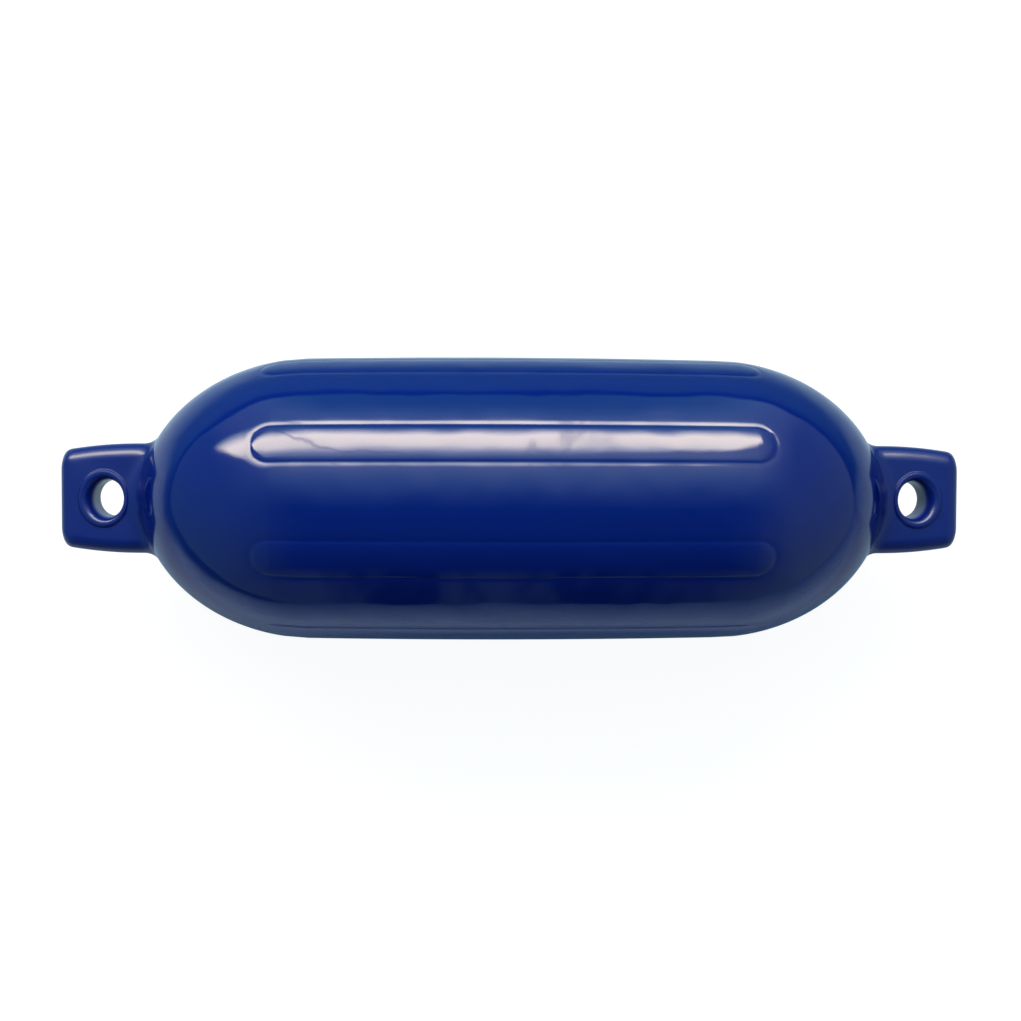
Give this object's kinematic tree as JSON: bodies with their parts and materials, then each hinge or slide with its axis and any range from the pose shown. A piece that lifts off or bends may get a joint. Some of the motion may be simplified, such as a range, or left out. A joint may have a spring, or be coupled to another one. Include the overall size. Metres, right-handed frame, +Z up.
{
  "type": "boat fender",
  "caption": "Long inflatable cylindrical boat fender with raised lengthwise ribs, domed ends and a ringed rope hole in a flat tab at each end.",
  "frame": {"origin": "middle of the small flat spot that the fender rests on, halfway along it", "axes": "+X along the fender towards the end with the inflation valve, +Z up along the rope holes, with the fender lying on its side"},
  "size_m": [0.684, 0.216, 0.2141],
  "materials": {
    "pvc": "smooth gloss deep blue soft PVC",
    "valve_rubber": "matt black rubber"
  },
  "bodies": {
    "root": {"fender_body": "pvc", "valve_insert": "valve_rubber"}
  },
  "joints": []
}
